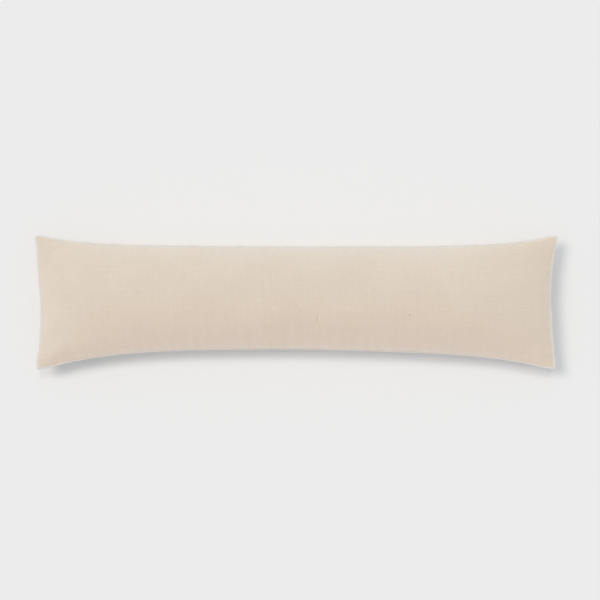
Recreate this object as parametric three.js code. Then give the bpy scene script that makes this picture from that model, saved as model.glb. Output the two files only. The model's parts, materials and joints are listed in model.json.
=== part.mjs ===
// A long knife-edge lumbar throw pillow, lying on its back.
// Two rectangular panels are sewn face to face, turned and filled, so the pillow is one closed solid:
// a crowned front above the seam, a back that is flat where it rests, and a thin seam lip all round.
// Millimetres. +X runs along the pillow, +Y across it and +Z up. The origin lies on the surface that
// the pillow rests on, under the middle of it.
import * as THREE from "three";
import { ParametricGeometry } from "three/addons/geometries/ParametricGeometry.js";
import { mergeGeometries, mergeVertices } from "three/addons/utils/BufferGeometryUtils.js";

// Driving dimensions of the filled pillow
const SPAN = 1255;
const WIDTH = 324;
const CROWN = 88;
const SEAM_HEIGHT = 62;

// Seam lip: the pressed edge that stands out past the filling
const LIP_WIDTH = 4.5;
const LIP_THICKNESS = 3.2;

// How far each edge is drawn in by the filling, and how far across, as a share of the half width, an
// end is drawn in the most
const SIDE_DRAW_IN = { upper: 26.4, lower: 48.8 };
const END_DRAW_IN = { left: 10.5, right: 13.8 };
const END_WAIST = { left: -0.025, right: 0.106 };

// The four corners. inX and inY are how far a corner lies inside the full span and width, height is
// its seam's height. sideEdge and endEdge shape the two edges from their middle out to it: ear is how
// far in from its point the edge runs level, slant is the share of the draw-in that the edge makes up
// slowly all the way, and bow is how late it makes up the rest.
const CORNERS = [
  {
    end: -1,
    side: 1,
    inX: 0,
    inY: 1,
    height: 54,
    sideEdge: { ear: 16, slant: 0.19, bow: 6.5 },
    endEdge: { ear: 4, slant: 0, bow: 1.1 },
  },
  {
    end: 1,
    side: 1,
    inX: 0,
    inY: 1,
    height: 54,
    sideEdge: { ear: 13, slant: 0.05, bow: 6 },
    endEdge: { ear: 12, slant: 0, bow: 1.95 },
  },
  {
    end: -1,
    side: -1,
    inX: 4,
    inY: 0,
    height: 58,
    sideEdge: { ear: 13, slant: 0.08, bow: 4.1 },
    endEdge: { ear: 26, slant: 0, bow: 2.9 },
  },
  {
    end: 1,
    side: -1,
    inX: 5,
    inY: 1,
    height: 58,
    sideEdge: { ear: 17.5, slant: 0.43, bow: 5.5 },
    endEdge: { ear: 4, slant: 0, bow: 1.3 },
  },
];

// How late an edge makes up its slant
const SLANT_BOW = 1.25;

// How softly an edge bends from its ear into the drawn-in stretch
const EAR_SOFTNESS = 0.05;

// A turned-out corner is blunt: its point sits back by this much both ways, within one facet
const CORNER_BLUNTING = 3;
const BLUNTING_REACH = 1.5;

// Front: the crown is full across the pillow, and runs down to the ends over END_SLOPE
const SECTION_FULLNESS = 0.7;
const END_SLOPE = 400;
const END_ROUNDNESS = 2.5;
const END_FULLNESS = 0.7;

// Back: the flat patch that it rests on, as shares of the half length and of the half width
const PATCH_LENGTH = 0.8;
const PATCH_WIDTH = 0.56;
const PATCH_ROUNDNESS = 4;
const BACK_FULLNESS = 0.6;

// How softly the back leaves the surface round that patch
const BACK_LANDING = 1.5;

// The seam keeps its height along the sides and changes to the corners' heights near the ends
const SEAM_DROP_POWER = 6;

// Soft troughs (depth above 0) and ridges (depth below 0) of the front near its corners. along is the
// direction of the trough in degrees from +X, length and width are how far it reaches each way.
const FRONT_FOLDS = [
  { at: [590, 106], along: -55, length: 36, width: 19, depth: 8.5 },
  { at: [-578, -124], along: 36, length: 45, width: 16, depth: -5 },
  { at: [-545, -143], along: 14, length: 40, width: 16, depth: 5 },
  { at: [-585, 112], along: 52, length: 32, width: 16, depth: 3.5 },
  { at: [560, -112], along: -28, length: 38, width: 17, depth: 4.5 },
];

// A trough or ridge fades out towards the seam, where the crown is under this share of its height
const FOLD_FADE = 0.3;

// The filling is a little uneven: long low waves over the front
const FILL_WAVES = [
  { height: 1.3, lengthX: 410, lengthY: 300, shift: 0.7 },
  { height: 0.8, lengthX: 235, lengthY: -170, shift: 2.1 },
];

// Facets: cells from the middle of the pillow to each edge, crowded towards the edges
const CELLS_ALONG = 42;
const CELLS_ACROSS = 11;
const CROWDING_ALONG = 0.6;
const CROWDING_ACROSS = 0.75;
const WELD = 1e-3;

const HALF_SPAN = SPAN / 2;
const HALF_WIDTH = WIDTH / 2;
const LIP_SHARE_ALONG = LIP_WIDTH / HALF_SPAN;
const LIP_SHARE_ACROSS = LIP_WIDTH / HALF_WIDTH;

const mix = THREE.MathUtils.lerp;

function cornerBeside(u, v) {
  return CORNERS.find(({ end, side }) => end === (u < 0 ? -1 : 1) && side === (v < 0 ? -1 : 1));
}

// A value of the four corners, blended over the pillow. u runs from -1 to 1 along it, v across it.
function blendCorners(u, v, valueOf) {
  return CORNERS.reduce(
    (sum, corner) => sum + valueOf(corner) * (1 + corner.end * u) * (1 + corner.side * v) / 4,
    0,
  );
}

// The share itself up to 1, and 1 past that, with a soft bend between them
function levelAfter(share) {
  return 1 - EAR_SOFTNESS * Math.log1p(Math.exp((1 - share) / EAR_SOFTNESS));
}

// How much of its draw-in an edge has made up at a share of the way from its middle to a corner
function turnedOut(share, { ear, slant, bow }, length) {
  const reached = share / (1 - ear / length);
  return levelAfter(slant * reached ** SLANT_BOW + (1 - slant) * reached ** bow);
}

// How far across the pillow the seam of one side lies at u
function sideSeamY(side, u) {
  const chord = blendCorners(u, side, (corner) => corner.side * (HALF_WIDTH - corner.inY));
  const drawIn = side > 0 ? SIDE_DRAW_IN.upper : SIDE_DRAW_IN.lower;
  const { sideEdge } = cornerBeside(u, side);
  return chord - side * drawIn * (1 - turnedOut(Math.abs(u), sideEdge, HALF_SPAN));
}

// How far along the pillow the seam of one end lies at v
function endSeamX(end, v) {
  const chord = blendCorners(end, v, (corner) => corner.end * (HALF_SPAN - corner.inX));
  const drawIn = end > 0 ? END_DRAW_IN.right : END_DRAW_IN.left;
  const waist = end > 0 ? END_WAIST.right : END_WAIST.left;
  const side = v < waist ? -1 : 1;
  const { endEdge } = cornerBeside(end, side);
  const share = (v - waist) / (side - waist);
  return chord - end * drawIn * (1 - turnedOut(share, endEdge, HALF_WIDTH));
}

function seamHeight(u, v) {
  const cornerHeight = blendCorners(u, v, (corner) => corner.height);
  return mix(SEAM_HEIGHT, cornerHeight, Math.abs(u) ** SEAM_DROP_POWER);
}

// 0 at the middle of the crown and 1 at the root of the lip
function shareOfCrown(share, lipShare) {
  return Math.min(1, Math.abs(share) / (1 - lipShare));
}

// Half the lip's thickness at its root, down to nothing at the seam
function lipRise(u, v) {
  const fromEnd = (1 - Math.abs(u)) / LIP_SHARE_ALONG;
  const fromSide = (1 - Math.abs(v)) / LIP_SHARE_ACROSS;
  return LIP_THICKNESS / 2 * Math.min(1, fromEnd, fromSide);
}

// Fullness of the front, from 0 at the lip to 1 along the middle
function frontFullness(u, v) {
  const across = (1 - shareOfCrown(v, LIP_SHARE_ACROSS) ** 2) ** SECTION_FULLNESS;
  const fromEnd = (1 - shareOfCrown(u, LIP_SHARE_ALONG)) * HALF_SPAN;
  const slope = 1 - Math.min(1, fromEnd / END_SLOPE);
  const along = (1 - slope ** END_ROUNDNESS) ** END_FULLNESS;
  return across * along;
}

// Height of the back as a share of its seam's: exactly 0 on the patch that it rests on, 1 at the lip
function backRise(u, v) {
  const along = shareOfCrown(u, LIP_SHARE_ALONG);
  const across = shareOfCrown(v, LIP_SHARE_ACROSS);
  const atPatchEdge = (1 - PATCH_WIDTH ** 2) ** BACK_FULLNESS;
  const endFullness = Math.log(atPatchEdge) / Math.log(1 - PATCH_LENGTH ** PATCH_ROUNDNESS);
  const fullness = (1 - across ** 2) ** BACK_FULLNESS * (1 - along ** PATCH_ROUNDNESS) ** endFullness;
  return Math.max(0, 1 - fullness / atPatchEdge) ** BACK_LANDING;
}

function foldDepth(x, y) {
  return FRONT_FOLDS.reduce((sum, { at, along, length, width, depth }) => {
    const turn = THREE.MathUtils.degToRad(along);
    const [dx, dy] = [x - at[0], y - at[1]];
    const lengthwise = (dx * Math.cos(turn) + dy * Math.sin(turn)) / length;
    const crosswise = (dy * Math.cos(turn) - dx * Math.sin(turn)) / width;
    return sum + depth * Math.exp(-(lengthwise ** 2) - crosswise ** 2);
  }, 0);
}

function fillWave(x, y) {
  const turns = 2 * Math.PI;
  return FILL_WAVES.reduce(
    (sum, { height, lengthX, lengthY, shift }) =>
      sum + height * Math.sin(turns * (x / lengthX + y / lengthY) + shift),
    0,
  );
}

// The point of one panel at u, v. face is 1 on the front and -1 on the back.
function panelPoint(u, v, face, target) {
  const nearCorner = Math.exp(
    -((1 - Math.abs(u)) * HALF_SPAN + (1 - Math.abs(v)) * HALF_WIDTH) / BLUNTING_REACH,
  );
  const blunting = CORNER_BLUNTING * nearCorner;
  const x = mix(endSeamX(-1, v), endSeamX(1, v), (u + 1) / 2) - Math.sign(u) * blunting;
  const y = mix(sideSeamY(-1, u), sideSeamY(1, u), (v + 1) / 2) - Math.sign(v) * blunting;
  const seam = seamHeight(u, v);
  if (face < 0) {
    return target.set(x, y, (seam - lipRise(u, v)) * backRise(u, v));
  }
  const fullness = frontFullness(u, v);
  const foldShare = THREE.MathUtils.smoothstep(fullness, 0, FOLD_FADE);
  const relief = fillWave(x, y) * fullness - foldDepth(x, y) * foldShare;
  return target.set(x, y, seam + lipRise(u, v) + CROWN * fullness + relief);
}

// Where a row of facets lies: 0 at the middle of the pillow and 1 at the seam, with one row as the lip
function station(share, cells, lipShare, crowding) {
  const inner = Math.min(1, share * cells / (cells - 1));
  const onLip = Math.max(0, share * cells - (cells - 1));
  const crowded = mix(inner, Math.sin(inner * Math.PI / 2), crowding);
  return (1 - lipShare) * crowded + lipShare * onLip;
}

// A quarter of a panel, between the middle of the pillow and one corner, its facets' diagonals
// running out to that corner. Its two parameters change places where that turns its faces outwards.
function quarterPanel(end, side, face) {
  const swapped = end * side * face > 0;
  const pointAt = (first, second, target) => {
    const fromCorner = swapped ? second : first;
    const toSide = swapped ? first : second;
    const u = end * station(1 - fromCorner, CELLS_ALONG, LIP_SHARE_ALONG, CROWDING_ALONG);
    const v = side * station(toSide, CELLS_ACROSS, LIP_SHARE_ACROSS, CROWDING_ACROSS);
    return panelPoint(u, v, face, target);
  };
  const cells = swapped ? [CELLS_ACROSS, CELLS_ALONG] : [CELLS_ALONG, CELLS_ACROSS];
  return new ParametricGeometry(pointAt, ...cells);
}

// Both panels, welded along the middle lines and along the seam into one closed surface
function pillowGeometry() {
  const quarters = [1, -1].flatMap((face) =>
    CORNERS.map(({ end, side }) => quarterPanel(end, side, face)),
  );
  const joined = mergeGeometries(quarters);
  joined.deleteAttribute("normal");
  joined.deleteAttribute("uv");
  const welded = mergeVertices(joined, WELD);
  welded.computeVertexNormals();
  return welded;
}

const naturalCloth = new THREE.MeshStandardMaterial({ color: 0xdecfbf, roughness: 0.92, metalness: 0 });

const pillow = new THREE.Mesh(pillowGeometry(), naturalCloth);
pillow.name = "pillow";

const lumbarPillow = new THREE.Group();
lumbarPillow.add(pillow);

export default lumbarPillow;
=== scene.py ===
import json
import math

import bpy
import numpy as np
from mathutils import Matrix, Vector

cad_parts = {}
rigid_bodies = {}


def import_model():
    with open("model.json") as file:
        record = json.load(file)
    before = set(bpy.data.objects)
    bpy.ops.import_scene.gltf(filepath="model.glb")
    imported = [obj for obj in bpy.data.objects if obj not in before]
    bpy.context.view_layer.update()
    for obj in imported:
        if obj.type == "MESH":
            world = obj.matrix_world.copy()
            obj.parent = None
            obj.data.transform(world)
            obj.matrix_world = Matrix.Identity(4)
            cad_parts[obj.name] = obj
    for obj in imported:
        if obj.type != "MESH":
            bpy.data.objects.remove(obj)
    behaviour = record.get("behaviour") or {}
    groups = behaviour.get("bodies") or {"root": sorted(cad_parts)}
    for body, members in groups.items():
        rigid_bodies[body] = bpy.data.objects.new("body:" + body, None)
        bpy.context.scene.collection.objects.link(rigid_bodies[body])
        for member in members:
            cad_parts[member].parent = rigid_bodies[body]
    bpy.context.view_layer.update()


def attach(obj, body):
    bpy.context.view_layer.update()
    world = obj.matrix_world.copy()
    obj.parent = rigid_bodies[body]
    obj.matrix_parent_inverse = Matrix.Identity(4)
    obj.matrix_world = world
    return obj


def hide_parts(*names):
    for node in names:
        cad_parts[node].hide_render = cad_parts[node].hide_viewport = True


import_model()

# The names of the two objects that the lamps shine on
PILLOW = "lumbar_pillow"
FLOOR = "floor"

# Driving dimensions of the filled pillow
SPAN = 1.255
WIDTH = 0.324
CROWN = 0.088
SEAM_HEIGHT = 0.062
HALF_SPAN = SPAN / 2
HALF_WIDTH = WIDTH / 2

# The cover's panels, flat
FLAT_LENGTH = 1.270
FLAT_WIDTH = 0.330

# Seam lip: the pressed edge that stands out past the filling
LIP_WIDTH = 0.0045
LIP_THICKNESS = 0.0032

# How far each edge is drawn in by the filling, for the side at -Y and +Y, or the end at -X and +X,
# and how far across, as a share of the half width, an end is drawn in the most
SIDE_DRAW_IN = {-1: 0.0488, 1: 0.0264}
END_DRAW_IN = {-1: 0.0105, 1: 0.0138}
END_WAIST = {-1: -0.025, 1: 0.106}

# The four corners. in_x and in_y are how far a corner lies inside the full span and width, height is
# its seam's height. side and end shape the two edges from the middle out to it: ear is how far in from
# its point the edge runs level, slant is the share of the draw-in that the edge makes up slowly all the
# way, by the power SLANT_BOW, and bow is the power by which it makes up the rest, late.
CORNERS = {
    (-1, 1): dict(
        in_x=0.0,
        in_y=0.001,
        height=0.054,
        side=dict(ear=0.016, slant=0.19, bow=6.5),
        end=dict(ear=0.004, slant=0.0, bow=1.1),
    ),
    (1, 1): dict(
        in_x=0.0,
        in_y=0.001,
        height=0.054,
        side=dict(ear=0.013, slant=0.05, bow=6.0),
        end=dict(ear=0.012, slant=0.0, bow=1.95),
    ),
    (-1, -1): dict(
        in_x=0.004,
        in_y=0.0,
        height=0.058,
        side=dict(ear=0.013, slant=0.08, bow=4.1),
        end=dict(ear=0.026, slant=0.0, bow=2.9),
    ),
    (1, -1): dict(
        in_x=0.005,
        in_y=0.001,
        height=0.058,
        side=dict(ear=0.0175, slant=0.43, bow=5.5),
        end=dict(ear=0.004, slant=0.0, bow=1.3),
    ),
}
SLANT_BOW = 1.25
EAR_SOFTNESS = 0.05
CORNER_RADIUS = 0.005

# Front: the crown is full across the pillow, and runs down to the ends over END_SLOPE
SECTION_FULLNESS = 0.7
END_SLOPE = 0.400
END_ROUNDNESS = 2.5
END_FULLNESS = 0.7

# Back: the flat patch that it rests on, as shares of the half length and of the half width
PATCH_LENGTH = 0.8
PATCH_WIDTH = 0.56
PATCH_ROUNDNESS = 4
BACK_FULLNESS = 0.6
BACK_LANDING = 1.5

# The seam is SEAM_HEIGHT high along the middle, and reaches its corners' heights by this power
SEAM_DROP_POWER = 6

# Soft troughs (depth above 0) and ridges (below 0) of the front near its corners. turn is the
# direction of the trough in degrees from +X, length and width are how far it reaches each way.
FRONT_FOLDS = [
    dict(x=0.590, y=0.106, turn=-55, length=0.036, width=0.019, depth=0.0085),
    dict(x=-0.578, y=-0.124, turn=36, length=0.045, width=0.016, depth=-0.0050),
    dict(x=-0.545, y=-0.143, turn=14, length=0.040, width=0.016, depth=0.0050),
    dict(x=-0.585, y=0.112, turn=52, length=0.032, width=0.016, depth=0.0035),
    dict(x=0.560, y=-0.112, turn=-28, length=0.038, width=0.017, depth=0.0045),
]
FOLD_FADE = 0.30

# The filling is a little uneven: long low waves over the front
FILL_WAVES = [
    dict(height=0.0013, length_x=0.410, length_y=0.300, shift=0.7),
    dict(height=0.0008, length_x=0.235, length_y=-0.170, shift=2.1),
]

# The lip isn't quite straight: it sways out and in, and up and down, by these waves along the seam,
# from nothing at LIP_SWAY_REACH inside the seam to their full size at it. LIP_SWAY_TURNS shifts the waves
# of opposite edges either way, so that no two edges are alike.
LIP_SWAY_REACH = 0.009
LIP_SWAY_TURNS = dict(side=2, end=3)
LIP_SWAYS = [
    dict(out=0.00028, up=0.00055, length=0.061, shift=0.4),
    dict(out=0.00022, up=0.00040, length=0.037, shift=2.9),
    dict(out=0.00018, up=0.00022, length=0.019, shift=1.7),
]

# Cells of the meshes, from end to end and from side to side, how many of them cross a lip, how much
# they are crowded towards the edges, and the share of the folds that they have
FINE_MESH = dict(cells=(440, 104), lip_cells=(3, 3), crowding=(0.6, 1.0), folds=1)
CLOTH_MESH = dict(cells=(320, 56), lip_cells=(1, 1), crowding=(0.3, 0.5), folds=0)


def blend_corners(u, v, value_of):
    """A value of the four corners, blended over the pillow. u runs from -1 to 1 along it, v across it."""
    return sum(
        value_of(end, side, corner) * (1 + end * u) * (1 + side * v) / 4
        for (end, side), corner in CORNERS.items()
    )


def level_after(share):
    """The share itself up to 1, and 1 past that, with a soft bend between them."""
    return 1 - EAR_SOFTNESS * np.log1p(np.exp((1 - share) / EAR_SOFTNESS))


def smooth(value, start, end):
    """0 up to start and 1 from end on, with a smooth step between them."""
    share = np.clip((value - start) / (end - start), 0, 1)
    return share * share * (3 - 2 * share)


def turned_out(share, edge, length):
    """How much of its draw-in an edge has made up at a share of the way from its middle to a corner."""
    share = share / (1 - edge["ear"] / length)
    return level_after(edge["slant"] * share**SLANT_BOW + (1 - edge["slant"]) * share ** edge["bow"])


def side_seam_y(side, u):
    """How far across the pillow the seam of one side lies at u."""
    chord = blend_corners(u, side, lambda end, s, corner: s * (HALF_WIDTH - corner["in_y"]))
    left, right = (turned_out(np.abs(u), CORNERS[end, side]["side"], HALF_SPAN) for end in (-1, 1))
    return chord - side * SIDE_DRAW_IN[side] * (1 - np.where(u < 0, left, right))


def end_seam_x(end, v):
    """How far along the pillow the seam of one end lies at v."""
    chord = blend_corners(end, v, lambda e, side, corner: e * (HALF_SPAN - corner["in_x"]))
    below = v < END_WAIST[end]
    share = np.abs(v - END_WAIST[end]) / np.where(below, 1 + END_WAIST[end], 1 - END_WAIST[end])
    lower, upper = (turned_out(share, CORNERS[end, side]["end"], HALF_WIDTH) for side in (-1, 1))
    return chord - end * END_DRAW_IN[end] * (1 - np.where(below, lower, upper))


def seam_height(u, v):
    """How high above the floor the seam lies at u, v."""
    corner_height = blend_corners(u, v, lambda end, side, corner: corner["height"])
    return SEAM_HEIGHT + (corner_height - SEAM_HEIGHT) * np.abs(u) ** SEAM_DROP_POWER


def from_sides(v):
    """How far inside the nearer side's seam v lies."""
    return (1 - np.abs(v)) * HALF_WIDTH


def from_ends(u):
    """How far inside the nearer end's seam u lies."""
    return (1 - np.abs(u)) * HALF_SPAN


def share_of_crown(share, lip):
    """0 at the middle of the crown and 1 at the root of the lip."""
    return np.minimum(1, np.abs(share) / (1 - lip))


def lip_rise(u, v):
    """Half the lip's thickness: full at its root, and rounded off to nothing at the seam."""
    inside = np.clip(np.minimum(from_ends(u), from_sides(v)) / LIP_WIDTH, 0, 1)
    return LIP_THICKNESS / 2 * np.sqrt(1 - (1 - inside) ** 2)


def front_fullness(u, v):
    """Fullness of the front, from 0 at the lip to 1 along the middle."""
    across = (1 - share_of_crown(v, LIP_WIDTH / HALF_WIDTH) ** 2) ** SECTION_FULLNESS
    past_lip = (1 - share_of_crown(u, LIP_WIDTH / HALF_SPAN)) * HALF_SPAN
    slope = 1 - np.minimum(1, past_lip / END_SLOPE)
    return across * (1 - slope**END_ROUNDNESS) ** END_FULLNESS


def back_rise(u, v):
    """Height of the back as a share of its seam's: 0 on the patch that it rests on, 1 at the lip."""
    along = share_of_crown(u, LIP_WIDTH / HALF_SPAN)
    across = share_of_crown(v, LIP_WIDTH / HALF_WIDTH)
    at_patch_edge = (1 - PATCH_WIDTH**2) ** BACK_FULLNESS
    end_fullness = math.log(at_patch_edge) / math.log(1 - PATCH_LENGTH**PATCH_ROUNDNESS)
    fullness = (1 - across**2) ** BACK_FULLNESS * (1 - along**PATCH_ROUNDNESS) ** end_fullness
    return np.maximum(0, 1 - fullness / at_patch_edge) ** BACK_LANDING


def fold_depth(x, y):
    """How far the folds near the corners press the front in."""
    total = np.zeros_like(x)
    for fold in FRONT_FOLDS:
        turn = math.radians(fold["turn"])
        dx, dy = x - fold["x"], y - fold["y"]
        lengthwise = (dx * math.cos(turn) + dy * math.sin(turn)) / fold["length"]
        crosswise = (dy * math.cos(turn) - dx * math.sin(turn)) / fold["width"]
        total += fold["depth"] * np.exp(-(lengthwise**2) - crosswise**2)
    return total


def fill_wave(x, y):
    """How far the uneven filling lifts the front."""
    return sum(
        wave["height"]
        * np.sin(2 * math.pi * (x / wave["length_x"] + y / wave["length_y"]) + wave["shift"])
        for wave in FILL_WAVES
    )


def rounded_corners(u, v):
    """How far x and y move towards the middle, so that the four corners are round."""
    to_end = np.clip(1 - from_ends(u) / CORNER_RADIUS, 0, 1)
    to_side = np.clip(1 - from_sides(v) / CORNER_RADIUS, 0, 1)
    in_x = CORNER_RADIUS * to_end * (1 - np.sqrt(1 - to_side**2 / 2))
    in_y = CORNER_RADIUS * to_side * (1 - np.sqrt(1 - to_end**2 / 2))
    return in_x * np.sign(u), in_y * np.sign(v)


def lip_sway(u, v):
    """How far the lip sways along x, y and z."""
    at_side = np.clip(1 - from_sides(v) / LIP_SWAY_REACH, 0, 1) ** 2
    at_end = np.clip(1 - from_ends(u) / LIP_SWAY_REACH, 0, 1) ** 2

    def sways(which, along, turned):
        return sum(
            sway[which] * np.sin(2 * math.pi * along / sway["length"] + sway["shift"] + turned)
            for sway in LIP_SWAYS
        )

    x, y = u * HALF_SPAN, v * HALF_WIDTH
    side_turn, end_turn = LIP_SWAY_TURNS["side"] * np.sign(v), LIP_SWAY_TURNS["end"] * np.sign(u)
    return np.stack(
        [
            np.sign(u) * at_end * sways("out", y, end_turn),
            np.sign(v) * at_side * sways("out", x, side_turn),
            np.maximum(at_side * sways("up", x, side_turn), at_end * sways("up", y, end_turn)),
        ],
        axis=-1,
    )


def panel_points(u, v, face, folds):
    """The points of one panel at u, v. face is 1 on the front and -1 on the back."""
    in_x, in_y = rounded_corners(u, v)
    along = (u + 1) / 2
    across = (v + 1) / 2
    x = end_seam_x(-1, v) * (1 - along) + end_seam_x(1, v) * along - in_x
    y = side_seam_y(-1, u) * (1 - across) + side_seam_y(1, u) * across - in_y
    seam = seam_height(u, v)
    if face < 0:
        z = (seam - lip_rise(u, v)) * back_rise(u, v)
    else:
        fullness = front_fullness(u, v)
        z = seam + lip_rise(u, v) + CROWN * fullness + fill_wave(x, y) * fullness
        z -= folds * fold_depth(x, y) * smooth(fullness, 0, FOLD_FADE)
    return np.stack([x, y, z], axis=-1) + lip_sway(u, v)


def stations(cells, lip_cells, lip_share, crowding):
    """Where the mesh's rows lie, from -1 to 1, crowded towards the edges, with lip_cells on each lip."""
    inner = np.linspace(0, 1, cells // 2 - lip_cells + 1)
    crowded = (1 - crowding) * inner + crowding * np.sin(inner * math.pi / 2)
    half = np.concatenate([(1 - lip_share) * crowded, np.linspace(1 - lip_share, 1, lip_cells + 1)[1:]])
    return np.concatenate([-half[:0:-1], half])


class Panels:
    """The front and the back as two grids of points that share their rim."""

    def __init__(self, cells, lip_cells, crowding, folds):
        self.u_rows = stations(cells[0], lip_cells[0], LIP_WIDTH / HALF_SPAN, crowding[0])
        self.v_rows = stations(cells[1], lip_cells[1], LIP_WIDTH / HALF_WIDTH, crowding[1])
        self.u, self.v = np.meshgrid(self.u_rows, self.v_rows, indexing="ij")
        self.grids = {face: panel_points(self.u, self.v, face, folds) for face in (1, -1)}
        front = np.arange(self.u.size).reshape(self.u.shape)
        back = front.copy()
        back[1:-1, 1:-1] = self.u.size + np.arange(back[1:-1, 1:-1].size).reshape(back[1:-1, 1:-1].shape)
        self.index = {1: front, -1: back}
        self.rim = np.concatenate([front[0], front[-1], front[:, 0], front[:, -1]])

    def spread(self, grids):
        """The values of the two grids in the order of the mesh's points."""
        values = np.zeros((self.index[-1].max() + 1, *grids[1].shape[2:]))
        for face in (-1, 1):
            values[self.index[face]] = grids[face]
        return values

    def normals(self, face):
        grid = self.grids[face]
        across = np.cross(np.gradient(grid, axis=0), np.gradient(grid, axis=1)) * face
        return across / np.linalg.norm(across, axis=-1, keepdims=True)

    def move(self, face, distance):
        """Moves one panel's points out along their normals."""
        self.grids[face] = self.grids[face] + self.normals(face) * distance[..., None]

    def faces(self):
        """The front's faces, and then the back's."""
        rings = []
        for face in (1, -1):
            index = self.index[face]
            ring = (index[:-1, :-1], index[1:, :-1], index[1:, 1:], index[:-1, 1:])
            rings.append(np.stack(ring[::face], axis=-1).reshape(-1, 4))
        return np.concatenate(rings)


def flat_cut(grid):
    """Where a panel's points lie in its flat cut, by their share of the length along and across it."""
    places = []
    for axis, size in ((0, FLAT_LENGTH), (1, FLAT_WIDTH)):
        steps = np.linalg.norm(np.diff(grid, axis=axis), axis=-1)
        start = np.zeros_like(np.take(steps, [0], axis=axis))
        reached = np.concatenate([start, np.cumsum(steps, axis=axis)], axis=axis)
        places.append((reached / np.take(reached, [-1], axis=axis) - 0.5) * size)
    return np.stack(places, axis=-1)


def mesh_object(name, points, faces):
    mesh = bpy.data.meshes.new(name)
    mesh.from_pydata(points.tolist(), [], faces.tolist())
    mesh.update()
    made = bpy.data.objects.new(name, mesh)
    bpy.context.scene.collection.objects.link(made)
    return made


# Pleats that the filled cover gets along its seams. They start as faint ridges and troughs, and the
# cloth simulation shapes them, because the flat panels have more length along the seams than is left.
PLEAT_SPACING = 0.024
PLEAT_REACH = 0.035
PLEAT_SEED = 0.0004
PLEAT_RANDOM_SEED = 7

# What each faint pleat draws by chance: its width and the step to the next one as shares of
# PLEAT_SPACING, its slant away from the seam's normal, and its shares of PLEAT_REACH and PLEAT_SEED
PLEAT_CHANCES = dict(
    width=(0.3, 0.5),
    slant=(-0.25, 0.25),
    reach=(0.5, 1.5),
    height=(0.4, 1.0),
    step=(0.35, 0.75),
)

# The panels' spare length along a seam, as a share, and how far in from the seam it fades
SPARE_LENGTH = 0.04
SPARE_REACH = 0.035

# The simulation: its frames, how firmly the filling holds the cloth from CLOTH_HOLD_RAMP inside the
# seam on, and the cloth's settings
CLOTH_FRAMES = 20
CLOTH_HOLD = 0.13
CLOTH_HOLD_RAMP = 0.060
CLOTH = dict(
    quality=5,
    mass=0.3,
    tension_stiffness=40,
    compression_stiffness=40,
    shear_stiffness=5,
    bending_stiffness=0.7,
    tension_damping=5,
    compression_damping=5,
    shear_damping=5,
    bending_damping=0.5,
    air_damping=3,
    use_pressure=True,
    uniform_pressure_force=0.8,
)

# What is kept of the settled cloth: what stands out from its average over PLEAT_SMOOTHING, PLEAT_GAIN
# times as high, up to PLEAT_CAP. It starts and is full at these distances inside the seam, and on the
# back it starts and is full at these shares of the seam's height.
PLEAT_SMOOTHING = 0.025
PLEAT_GAIN = 5.0
PLEAT_CAP = 0.003
PLEATS_FROM_SEAM = (0.6 * LIP_WIDTH, 2.5 * LIP_WIDTH)
PLEATS_ON_BACK = (0.01, 0.2)
TINY = 1e-6


def faint_pleats(along, from_seam, length, rng):
    """Uneven ridges and troughs that run in from a seam."""

    def drawn(name):
        return rng.uniform(*PLEAT_CHANCES[name])

    total = np.zeros_like(along)
    at = PLEAT_SPACING * rng.random() - length / 2
    ridge = 1
    while at < length / 2:
        width = PLEAT_SPACING * drawn("width")
        slant = drawn("slant")
        reach = PLEAT_REACH * drawn("reach")
        height = ridge * drawn("height")
        total += height * np.exp(-(((along - at - slant * from_seam) / width) ** 2) - from_seam / reach)
        ridge = -ridge
        at += PLEAT_SPACING * drawn("step")
    return PLEAT_SEED * total


def add_faint_pleats(panels, rng):
    """Gives both panels faint pleats, none of them on the outer half of the lip."""
    nearest = np.minimum(from_ends(panels.u), from_sides(panels.v))
    off_lip = np.clip(nearest / LIP_WIDTH - 0.5, 0, 1)
    for face in (1, -1):
        x, y = panels.grids[face][..., 0], panels.grids[face][..., 1]
        total = np.zeros_like(x)
        for side in (-1, 1):
            total += faint_pleats(x, (1 - side * panels.v) * HALF_WIDTH, SPAN, rng)
        for end in (-1, 1):
            total += faint_pleats(y, (1 - end * panels.u) * HALF_SPAN, WIDTH, rng)
        panels.move(face, total * off_lip)


def flat_with_spare(panels, face):
    """A panel's flat cut, with the spare length that it has along its seams."""
    flat = np.pad(flat_cut(panels.grids[face]), ((0, 0), (0, 0), (0, 1)))
    flat[..., 0] *= 1 + SPARE_LENGTH * np.exp(-from_sides(panels.v) / SPARE_REACH)
    flat[..., 1] *= 1 + SPARE_LENGTH * np.exp(-from_ends(panels.u) / SPARE_REACH)
    return flat


def flat_shape(cover, panels):
    """A shape key of the cover with its panels cut flat."""
    cover.shape_key_add(name="Basis")
    flat = cover.shape_key_add(name="flat")
    flat.value = 0
    flat.data.foreach_set("co", panels.spread({f: flat_with_spare(panels, f) for f in (1, -1)}).ravel())
    return flat


def hold_group(cover, panels):
    """How firmly each point of the cover is held: the seam all the way, the rest by the filling."""
    nearest = np.minimum(from_ends(panels.u), from_sides(panels.v))
    hold = panels.spread({face: CLOTH_HOLD * smooth(nearest, 0, CLOTH_HOLD_RAMP) for face in (1, -1)})
    hold[panels.rim] = 1
    group = cover.vertex_groups.new(name="hold")
    for point, weight in enumerate(hold):
        group.add([point], float(weight), "REPLACE")
    return group


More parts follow.
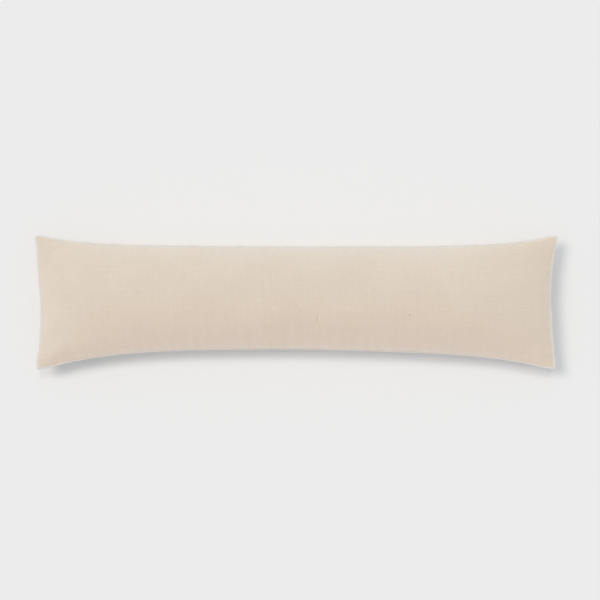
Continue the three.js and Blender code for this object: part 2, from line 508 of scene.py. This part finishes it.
def settled_points(panels):
    """The panels' points after the cloth has settled round its filling, its seam held in place."""
    points = panels.spread(panels.grids)
    cover = mesh_object("settling_cover", points, panels.faces())
    flat = flat_shape(cover, panels)
    group = hold_group(cover, panels)
    cloth = cover.modifiers.new("cloth", "CLOTH")
    for name, value in CLOTH.items():
        setattr(cloth.settings, name, value)
    cloth.settings.rest_shape_key = flat
    cloth.settings.vertex_group_mass = group.name
    cloth.settings.effector_weights.gravity = 0
    cloth.collision_settings.use_collision = False
    cloth.collision_settings.use_self_collision = False
    cloth.point_cache.frame_start = 1
    cloth.point_cache.frame_end = CLOTH_FRAMES
    for step in range(1, CLOTH_FRAMES + 1):
        bpy.context.scene.frame_set(step)
    settled = bpy.data.meshes.new_from_object(
        cover.evaluated_get(bpy.context.evaluated_depsgraph_get())
    )
    moved = np.empty(points.size)
    settled.vertices.foreach_get("co", moved)
    bpy.data.meshes.remove(settled)
    bpy.data.meshes.remove(cover.data)
    bpy.context.scene.frame_set(1)
    return moved.reshape(-1, 3)


def smoothing(places):
    """A matrix that smooths values at these places over PLEAT_SMOOTHING."""
    apart = (places[:, None] - places[None, :]) / PLEAT_SMOOTHING
    weights = np.exp(-(apart**2) / 2)
    return weights / weights.sum(axis=1, keepdims=True)


def pleat_heights(panels, face, start, moved):
    """How far the settled cloth stands out from the smooth pillow, pleats alone."""
    index = panels.index[face]
    out = ((moved[index] - start.grids[face]) * start.normals(face)).sum(axis=-1)
    along_sides = out - smoothing(panels.u_rows * HALF_SPAN) @ out
    along_ends = out - out @ smoothing(panels.v_rows * HALF_WIDTH).T
    end_share = from_sides(panels.v) / (from_sides(panels.v) + from_ends(panels.u) + TINY)
    pleats = along_sides * (1 - end_share) + along_ends * end_share
    pleats = PLEAT_CAP * np.tanh(PLEAT_GAIN * pleats / PLEAT_CAP)
    nearest = np.minimum(from_ends(panels.u), from_sides(panels.v))
    kept = smooth(nearest, *PLEATS_FROM_SEAM)
    if face < 0:
        kept = kept * smooth(back_rise(panels.u, panels.v), *PLEATS_ON_BACK)
    return pleats * kept


def resampled(values, rows, wanted):
    """The values' first axis taken from rows to the wanted places, on a Catmull-Rom cubic."""
    at = np.interp(wanted, rows, np.arange(len(rows)))
    first = np.clip(np.floor(at).astype(int), 0, len(rows) - 2)
    t = (at - first)[:, None]
    shares = (
        ((2 - t) * t - 1) * t / 2,
        ((3 * t - 5) * t * t + 2) / 2,
        ((4 - 3 * t) * t + 1) * t / 2,
        (t - 1) * t * t / 2,
    )
    near = [np.clip(first + step, 0, len(rows) - 1) for step in (-1, 0, 1, 2)]
    return sum(share * values[index] for share, index in zip(shares, near))


def add_pleats(fine):
    """Settles a coarser cover by cloth simulation, and gives the fine one its pleats."""
    start = Panels(**CLOTH_MESH)
    panels = Panels(**CLOTH_MESH)
    add_faint_pleats(panels, np.random.default_rng(PLEAT_RANDOM_SEED))
    moved = settled_points(panels)
    for face in (1, -1):
        heights = pleat_heights(panels, face, start, moved)
        finer = resampled(heights, panels.u_rows, fine.u_rows)
        finer = resampled(finer.T, panels.v_rows, fine.v_rows).T
        fine.move(face, finer)
    fine.grids[-1][..., 2] = np.maximum(0, fine.grids[-1][..., 2])


# The cloth's threads: how far apart they lie, how high they stand, how much of that height the bump
# gives, and a number for each set of threads that keeps its unevenness apart from the other's
WARP_PITCH = 0.00115
WEFT_PITCH = 0.00130
WEAVE_HEIGHT = 0.00035
WEAVE_STRENGTH = 0.7
WARP_SALT = 11.0
WEFT_SALT = 47.0

# Threads wander to either side by THREAD_BEND, with this many bends to the metre. BEND_SALT keeps the
# weft's bends apart from the warp's.
THREAD_BEND = 0.0011
THREAD_BENDS = 22
BEND_SALT = 5.0

# How a thread changes: lengthwise is how often for each metre along it, and crosswise is how far apart
# in the noise neighbouring threads lie
UNEVEN = dict(lengthwise=28, crosswise=3.71)
FIBRES = dict(lengthwise=700, crosswise=3.3)

# Steps of a shader value: from start to end of what goes in, what comes out runs from low to high.
# A thread's unevenness makes it thin or thick, and a slub where it is greatest. The weave's height darkens
# the hollows between threads with painted shade, lightens the thread tops a little, and makes the hollows
# rougher.
THIN_TO_THICK = dict(start=0.25, end=0.60, low=0.82, high=1.05)
SLUB = dict(start=0.66, end=0.80)
SLUB_THICKNESS = 0.45
HOLLOW_SHADE = dict(start=0.05, end=0.75, low=0.87, high=1.04)
HOLLOW_ROUGHNESS = dict(start=0.1, end=1.0, low=0.96, high=0.84)

# Shares of a thread's height: its round top, and how far it lies over or under the thread it crosses
ROUND_TOP = 0.6
OVER_AND_UNDER = 0.4

# How far each of these moves the tone, which is 0 for the darkest yarn and 1 for the lightest: the
# thread's own tone, its unevenness, its fibres, its slubs, the cloth's fine heather and broad mottle
TONES = dict(own=0.07, uneven=0.13, fibres=0.22, slub=0.08, heather=0.08, mottle=0.10)
MIDDLE_TONE = 0.5

# How many patches of the heather and of the mottle lie to the metre
HEATHER_PATCHES = 130
MOTTLE_PATCHES = 9

# Linear colours of the darkest and the lightest yarn, and of the pale painted highlight along the lip
DARK_YARN = (0.660, 0.550, 0.440, 1)
LIGHT_YARN = (0.890, 0.800, 0.700, 1)
RIM_HIGHLIGHT_COLOUR = (0.830, 0.810, 0.780, 1)

# A pale painted highlight lies along the lip, at its strongest at one distance inside the seam and gone at
# another. Both distances waver by the distance on the line below, with this many waves to the metre.
RIM_HIGHLIGHT_BAND = dict(start=0.0010, end=0.0080, low=0.75, high=0.0)
RIM_HIGHLIGHT_WAVER = 0.0022
RIM_HIGHLIGHT_WAVES = 160

# The painted highlight reaches further in along the middle of the end at +X. There only this share of the
# distance from the seam counts, and it grows to all of it between these two distances either side of the
# middle.
WIDER_RIM_HIGHLIGHT = 0.62
LIP_TAPER = (0.09, 0.15)

# The back panel's lip lies under the front's, so it gets only this share of the front's painted highlight
BACK_RIM_HIGHLIGHT = 0.35

# The cloth's even finish
FINISH = {
    "Specular IOR Level": 0.25,
    "Diffuse Roughness": 0.6,
    "Sheen Weight": 0.8,
    "Sheen Roughness": 0.5,
}

# Small spots on the front where the tone is lighter, some with a darker spot beside them
TONE_SPOTS = [
    dict(x=-0.0520, y=-0.0148, length_x=0.0046, length_y=0.0020, tone=0.36),
    dict(x=0.0110, y=-0.0060, length_x=0.0017, length_y=0.0066, tone=0.36),
    dict(x=0.0505, y=-0.0390, length_x=0.0014, length_y=0.0080, tone=-0.50),
    dict(x=0.0550, y=-0.0355, length_x=0.0015, length_y=0.0052, tone=0.40),
    dict(x=0.2672, y=-0.0292, length_x=0.0019, length_y=0.0024, tone=-0.50),
    dict(x=0.2635, y=-0.0240, length_x=0.0014, length_y=0.0025, tone=0.40),
    dict(x=0.2710, y=-0.0240, length_x=0.0014, length_y=0.0025, tone=0.40),
]


class Nodes:
    """A material's node tree. Each call adds a node, wires it up and gives back its output."""

    def __init__(self, tree):
        self.tree = tree

    def add(self, kind, inputs, output=0, **settings):
        node = self.tree.nodes.new(kind)
        for name, value in settings.items():
            setattr(node, name, value)
        for name, value in inputs.items():
            if isinstance(value, bpy.types.NodeSocket):
                self.tree.links.new(value, node.inputs[name])
            else:
                node.inputs[name].default_value = value
        return node.outputs[output]

    def math(self, operation, *values):
        return self.add("ShaderNodeMath", dict(enumerate(values)), operation=operation)

    def sum(self, *values):
        total = values[0]
        for value in values[1:]:
            total = self.math("ADD", total, value)
        return total

    def times(self, a, b):
        return self.math("MULTIPLY", a, b)

    def spread(self, value, reach):
        """A value from 0 to 1, as one from -reach to reach."""
        return self.math("MULTIPLY_ADD", value, 2 * reach, -reach)

    def step(self, value, start, end, low=0.0, high=1.0):
        inputs = {"Value": value, "From Min": start, "From Max": end, "To Min": low, "To Max": high}
        return self.add("ShaderNodeMapRange", inputs, interpolation_type="SMOOTHSTEP")

    def vector(self, x, y, z):
        return self.add("ShaderNodeCombineXYZ", {"X": x, "Y": y, "Z": z})

    def parts(self, vector):
        """The vector's X, Y and Z, by their names."""
        return self.add("ShaderNodeSeparateXYZ", {"Vector": vector}).node.outputs

    def noise(self, vector, scale, detail=2.0):
        return self.add("ShaderNodeTexNoise", {"Vector": vector, "Scale": scale, "Detail": detail})

    def chance(self, number):
        return self.add("ShaderNodeTexWhiteNoise", {"W": number}, noise_dimensions="1D")

    def mix(self, share, a, b, blend="MIX"):
        inputs = {0: share, 6: a, 7: b}
        return self.add("ShaderNodeMix", inputs, output=2, data_type="RGBA", blend_type=blend)


def thread(nodes, across, along, salt):
    """One set of threads: its wave, its thickness and its tone. across counts threads."""

    def changes(crosswise, size):
        x = nodes.times(crosswise, size["crosswise"])
        return nodes.noise(nodes.vector(x, nodes.times(along, size["lengthwise"]), salt), scale=1, detail=1)

    number = nodes.math("FLOOR", across)
    wave = nodes.math("SINE", nodes.times(across, math.pi))
    uneven = changes(number, UNEVEN)
    fibres = changes(across, FIBRES)
    slub = nodes.step(uneven, **SLUB)
    thickness = nodes.sum(nodes.step(uneven, **THIN_TO_THICK), nodes.times(slub, SLUB_THICKNESS))
    own = nodes.chance(nodes.math("ADD", number, salt + 0.5))
    tone = nodes.sum(
        nodes.spread(own, TONES["own"]),
        nodes.spread(uneven, TONES["uneven"]),
        nodes.spread(fibres, TONES["fibres"]),
        nodes.times(slub, TONES["slub"]),
    )
    return wave, thickness, tone


def woven(nodes, cut):
    """The weave at a place of the flat cut: its height from 0 to about 1, and its tone around 0."""
    parts = nodes.parts(cut)
    turned = nodes.vector(parts["Y"], parts["X"], BEND_SALT)
    bend_x = nodes.spread(nodes.noise(cut, THREAD_BENDS), THREAD_BEND)
    bend_y = nodes.spread(nodes.noise(turned, THREAD_BENDS), THREAD_BEND)
    x = nodes.math("ADD", parts["X"], bend_x)
    y = nodes.math("ADD", parts["Y"], bend_y)
    warp, warp_thickness, warp_tone = thread(nodes, nodes.math("DIVIDE", x, WARP_PITCH), y, WARP_SALT)
    weft, weft_thickness, weft_tone = thread(nodes, nodes.math("DIVIDE", y, WEFT_PITCH), x, WEFT_SALT)
    over = nodes.times(nodes.times(warp, weft), OVER_AND_UNDER)

    def height_of(wave, thickness, lift):
        round_top = nodes.times(nodes.math("ABSOLUTE", wave), nodes.times(thickness, ROUND_TOP))
        return nodes.math("ADD", round_top, lift)

    warp_height = height_of(warp, warp_thickness, over)
    weft_height = height_of(weft, weft_thickness, nodes.times(over, -1))
    warp_on_top = nodes.math("GREATER_THAN", warp_height, weft_height)
    height = nodes.math("MAXIMUM", warp_height, weft_height)
    tone = nodes.add("ShaderNodeMix", {0: warp_on_top, 2: weft_tone, 3: warp_tone})
    return height, tone


def marks(nodes, place):
    """Tone of the small lighter and darker spots on the front."""
    parts = nodes.parts(place)
    total = 0.0
    for mark in TONE_SPOTS:
        dx = nodes.math("DIVIDE", nodes.math("SUBTRACT", parts["X"], mark["x"]), mark["length_x"])
        dy = nodes.math("DIVIDE", nodes.math("SUBTRACT", parts["Y"], mark["y"]), mark["length_y"])
        apart = nodes.sum(nodes.times(dx, dx), nodes.times(dy, dy))
        size = nodes.math("EXPONENT", nodes.times(apart, -1))
        total = nodes.math("MULTIPLY_ADD", size, mark["tone"], total)
    on_front = nodes.math("GREATER_THAN", parts["Z"], SEAM_HEIGHT)
    return nodes.times(total, on_front)


def painted_rim_highlight(nodes, cut, place):
    """How much of the cloth gets the pale painted highlight: a band along the seam, wavering and wider at
    one end.
    """
    parts = nodes.parts(cut)
    on_back = nodes.math("ROUND", parts["Y"])
    off_middle = nodes.math("ABSOLUTE", nodes.math("SUBTRACT", parts["Y"], on_back))
    from_side = nodes.math("SUBTRACT", FLAT_WIDTH / 2, off_middle)
    from_left = nodes.math("ADD", parts["X"], FLAT_LENGTH / 2)
    from_right = nodes.math("SUBTRACT", FLAT_LENGTH / 2, parts["X"])
    counted = nodes.times(from_right, nodes.step(off_middle, *LIP_TAPER, WIDER_RIM_HIGHLIGHT, 1.0))
    from_end = nodes.math("MINIMUM", from_left, counted)
    from_seam = nodes.math("MINIMUM", from_end, from_side)
    waver = nodes.spread(nodes.noise(place, RIM_HIGHLIGHT_WAVES), RIM_HIGHLIGHT_WAVER)
    on_this_face = nodes.math("MULTIPLY_ADD", on_back, BACK_RIM_HIGHLIGHT - 1, 1.0)
    return nodes.times(nodes.step(nodes.math("ADD", from_seam, waver), **RIM_HIGHLIGHT_BAND), on_this_face)


def natural_cloth():
    """Plain-woven natural cloth: uneven threads, with a pale painted highlight along its lip."""
    material = bpy.data.materials.new("natural_cloth")
    material.use_nodes = True
    nodes = Nodes(material.node_tree)
    shader = material.node_tree.nodes["Principled BSDF"]
    cut = nodes.add("ShaderNodeUVMap", {}, uv_map="weave")
    place = nodes.add("ShaderNodeTexCoord", {}, output="Object")

    height, weave_tone = woven(nodes, cut)
    heather = nodes.spread(nodes.noise(cut, HEATHER_PATCHES), TONES["heather"])
    mottle = nodes.spread(nodes.noise(place, MOTTLE_PATCHES, detail=3), TONES["mottle"])
    tone = nodes.sum(MIDDLE_TONE, weave_tone, heather, mottle, marks(nodes, place))

    colour = nodes.mix(tone, DARK_YARN, LIGHT_YARN)
    # Mix in the pale painted highlight along the seam lip
    colour = nodes.mix(painted_rim_highlight(nodes, cut, place), colour, RIM_HIGHLIGHT_COLOUR)
    # Painted shade: the weave's height darkens the hollows between threads and lightens the thread tops a
    # little
    painted_hollow_shade = nodes.step(height, **HOLLOW_SHADE)
    colour = nodes.mix(1.0, colour, nodes.vector(painted_hollow_shade, painted_hollow_shade, painted_hollow_shade), "MULTIPLY")
    roughness = nodes.step(height, **HOLLOW_ROUGHNESS)
    bump = {"Height": height, "Distance": WEAVE_HEIGHT, "Strength": WEAVE_STRENGTH}

    material.node_tree.links.new(colour, shader.inputs["Base Color"])
    material.node_tree.links.new(roughness, shader.inputs["Roughness"])
    material.node_tree.links.new(nodes.add("ShaderNodeBump", bump), shader.inputs["Normal"])
    for name, value in FINISH.items():
        shader.inputs[name].default_value = value
    return material


# The strips of the two panels in the square map for baking: the share of its width that they fill, and
# how far from its middle each one lies
BAKE_FILL = 0.98
BAKE_STRIP = 0.14


def add_uvs(mesh, panels):
    """The flat cut in metres for the weave, the back's a metre further on, and both strips in 0 to 1."""
    corners = np.empty(len(mesh.loops), dtype=int)
    mesh.loops.foreach_get("vertex_index", corners)
    on_front = np.arange(len(corners)) < len(corners) // 2
    flat = {face: flat_cut(panels.grids[face]) for face in (1, -1)}
    scale = 1 / FLAT_LENGTH

    def on_next_metre(face):
        return flat[face] + np.array([0, (1 - face) / 2])

    def in_strip(face):
        return flat[face] * scale * BAKE_FILL + np.array([0.5, 0.5 + BAKE_STRIP * face])

    def layer(name, place):
        spread = {}
        for face in (1, -1):
            spread[face] = np.zeros((len(mesh.vertices), 2))
            spread[face][panels.index[face]] = place(face)
        uv = np.where(on_front[:, None], spread[1][corners], spread[-1][corners])
        mesh.uv_layers.new(name=name).data.foreach_set("uv", uv.ravel())

    layer("weave", on_next_metre)
    layer("OFBake", in_strip)


def make_pillow():
    panels = Panels(**FINE_MESH)
    add_pleats(panels)
    pillow = mesh_object(PILLOW, panels.spread(panels.grids), panels.faces())
    pillow.data.shade_smooth()
    add_uvs(pillow.data, panels)
    pillow.data.materials.append(natural_cloth())
    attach(pillow, "root")
    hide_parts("pillow")


# The photo's frame: how much it spans at VIEW_HEIGHT above the floor, and the point under its middle.
# The lens and the sensor are in millimetres.
VIEW_SPAN = 1.4406
VIEW_HEIGHT = 0.055
VIEW_CENTRE = (0.0091, 0.0058)
LENS = 100
SENSOR = 36


def make_camera():
    data = bpy.data.cameras.new("camera")
    data.lens = LENS
    data.sensor_width = SENSOR
    camera = bpy.data.objects.new("camera", data)
    camera.location = (*VIEW_CENTRE, VIEW_HEIGHT + VIEW_SPAN * LENS / SENSOR)
    bpy.context.scene.collection.objects.link(camera)
    bpy.context.scene.camera = camera


FLOOR_SIZE = 60
FLOOR_COLOUR = (0.85, 0.85, 0.85, 1)
SKY_LIGHT = 0.5

# The studio's lights: what each one lights, where it comes from, how many degrees wide it is, its
# strength and its colour. The floor and the pillow are lit apart, so that the shadow is as compact as
# the photo's. Daylight from behind and a warmer light from above make the pillow's front cooler towards
# its upper side, and all of them together are neutral.
WHITE = (1, 1, 1)
COOL = (0.80, 1, 1.20)
WARM = (1.08, 1, 0.92)
DAYLIGHT = (0.69, 1, 1.07)
PALE_DAYLIGHT = (0.935, 1, 1.035)
LAMPLIGHT = (1.195, 1, 0.936)
LIGHTS = [
    dict(name="floor_top", on=FLOOR, source=(0, 0, 1), angle=8, strength=0.356, colour=COOL),
    dict(name="floor_key", on=FLOOR, source=(-0.60, 0.30, 1), angle=24, strength=1.03, colour=WARM),
    dict(name="floor_back", on=FLOOR, source=(0, 0.42, 1), angle=16, strength=0.343, colour=WHITE),
    dict(name="pillow_dome", on=PILLOW, source=(0, 0, 1), angle=170, strength=0.808, colour=LAMPLIGHT),
    dict(name="pillow_key", on=PILLOW, source=(0, 1, 1), angle=60, strength=0.627, colour=DAYLIGHT),
    dict(name="pillow_side", on=PILLOW, source=(-1, 0, 1), angle=60, strength=0.535, colour=PALE_DAYLIGHT),
]


def make_floor():
    corners = [(x * FLOOR_SIZE / 2, y * FLOOR_SIZE / 2, 0) for x, y in ((-1, -1), (1, -1), (1, 1), (-1, 1))]
    floor = mesh_object(FLOOR, np.array(corners), np.array([[0, 1, 2, 3]]))
    material = bpy.data.materials.new("floor")
    material.use_nodes = True
    shader = material.node_tree.nodes["Principled BSDF"]
    shader.inputs["Base Color"].default_value = FLOOR_COLOUR
    shader.inputs["Roughness"].default_value = 1
    shader.inputs["Specular IOR Level"].default_value = 0
    floor.data.materials.append(material)


def make_lights():
    for light in LIGHTS:
        lamp = bpy.data.lights.new(light["name"], "SUN")
        lamp.energy = light["strength"]
        lamp.angle = math.radians(light["angle"])
        lamp.color = light["colour"]
        placed = bpy.data.objects.new(light["name"], lamp)
        placed.rotation_euler = Vector(light["source"]).to_track_quat("Z", "Y").to_euler()
        bpy.context.scene.collection.objects.link(placed)
        lit = bpy.data.collections.new(light["name"])
        lit.objects.link(bpy.data.objects[light["on"]])
        placed.light_linking.receiver_collection = lit


def make_sky():
    """A pale dome, as bright on the whole as the pillow, so that the floor beside it stays even."""
    world = bpy.data.worlds.new("studio")
    world.use_nodes = True
    world.node_tree.nodes["Background"].inputs["Strength"].default_value = SKY_LIGHT
    world.node_tree.nodes["Background"].inputs["Color"].default_value = (1, 1, 1, 1)
    bpy.context.scene.world = world


bpy.context.scene.view_settings.view_transform = "Standard"
make_pillow()
make_camera()
make_floor()
make_lights()
make_sky()
